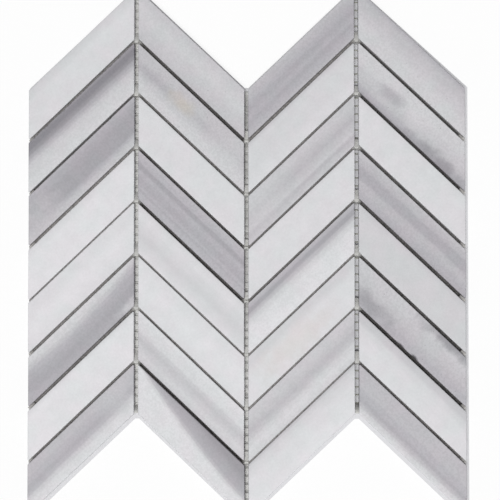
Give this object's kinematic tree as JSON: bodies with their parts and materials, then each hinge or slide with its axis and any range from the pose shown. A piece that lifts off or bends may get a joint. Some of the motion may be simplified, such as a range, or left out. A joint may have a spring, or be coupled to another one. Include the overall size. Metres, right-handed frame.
{
  "type": "chevron mosaic wall tile",
  "caption": "Chevron mosaic sheet of sawn marble strips in mirrored slanting columns, bonded face up on a glass-fibre net, with zigzag edges that key into the next sheet.",
  "frame": {"origin": "centre of the footprint, on the plane under the backing net", "axes": "+X across the columns, +Y up the sheet towards its peaks, +Z out of the honed faces"},
  "size_m": [0.3032, 0.365, 0.0106],
  "materials": {
    "marble": "honed",
    "glass_fibre_net": "coated yarn",
    "adhesive": "glossy"
  },
  "bodies": {
    "root": {"stone_col1_row1": "marble", "stone_col1_row2": "marble", "stone_col1_row3": "marble", "stone_col1_row4": "marble", "stone_col1_row5": "marble", "stone_col1_row6": "marble", "stone_col1_row7": "marble", "stone_col1_row8": "marble", "stone_col2_row1": "marble", "stone_col2_row2": "marble", "stone_col2_row3": "marble", "stone_col2_row4": "marble", "stone_col2_row5": "marble", "stone_col2_row6": "marble", "stone_col2_row7": "marble", "stone_col2_row8": "marble", "stone_col3_row1": "marble", "stone_col3_row2": "marble", "stone_col3_row3": "marble", "stone_col3_row4": "marble", "stone_col3_row5": "marble", "stone_col3_row6": "marble", "stone_col3_row7": "marble", "stone_col3_row8": "marble", "stone_col4_row1": "marble", "stone_col4_row2": "marble", "stone_col4_row3": "marble", "stone_col4_row4": "marble", "stone_col4_row5": "marble", "stone_col4_row6": "marble", "stone_col4_row7": "marble", "stone_col4_row8": "marble", "net_warp": "glass_fibre_net", "net_weft": "glass_fibre_net", "adhesive_dabs": "adhesive"}
  },
  "joints": []
}
